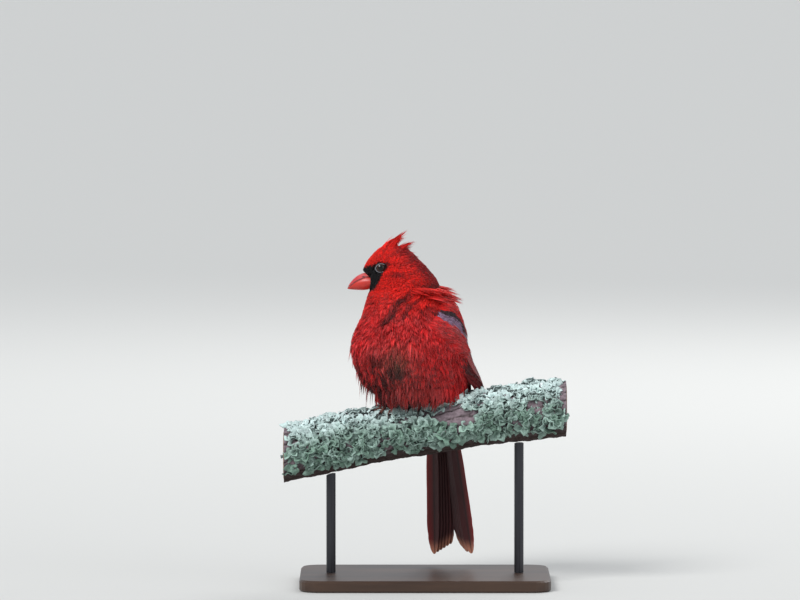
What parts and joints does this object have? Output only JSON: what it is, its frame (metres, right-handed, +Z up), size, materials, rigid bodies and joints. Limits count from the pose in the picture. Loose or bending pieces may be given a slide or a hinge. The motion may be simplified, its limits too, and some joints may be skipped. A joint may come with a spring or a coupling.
{
  "type": "northern cardinal on a perch",
  "caption": "Life-size still model of a fluffed male northern cardinal on a cut length of lichened branch, held by a plain stand.",
  "frame": {"origin": "middle of the underside of the display base", "axes": "+Z up, +X along the branch to the right as seen from the camera, -Y towards the camera; the bill points to -X"},
  "size_m": [0.192, 0.12, 0.241],
  "materials": {
    "feathers_red": "soft red plumage",
    "feathers_wing": "dusky purple-brown flight feathers with red edges",
    "feathers_tail": "dark red-brown tail feathers",
    "bill": "waxy coral horn",
    "eye": "wet dark brown",
    "leg": "dull brown scutes",
    "bark": "grey bark crusted with pale blue-green lichen",
    "stand_wood": "dark satin wood",
    "stand_metal": "blackened satin steel"
  },
  "bodies": {
    "root": {"head": "feathers_red", "neck": "feathers_red", "torso": "feathers_red", "wing_left": "feathers_wing", "wing_right": "feathers_wing", "tail": "feathers_tail", "bill_upper": "bill", "bill_lower": "bill", "eye_left": "eye", "eye_right": "eye", "leg_left": "leg", "leg_right": "leg", "foot_left": "leg", "foot_right": "leg", "perch_branch": "bark", "stand_base": "stand_wood", "stand_rod_left": "stand_metal", "stand_rod_right": "stand_metal"}
  },
  "joints": []
}
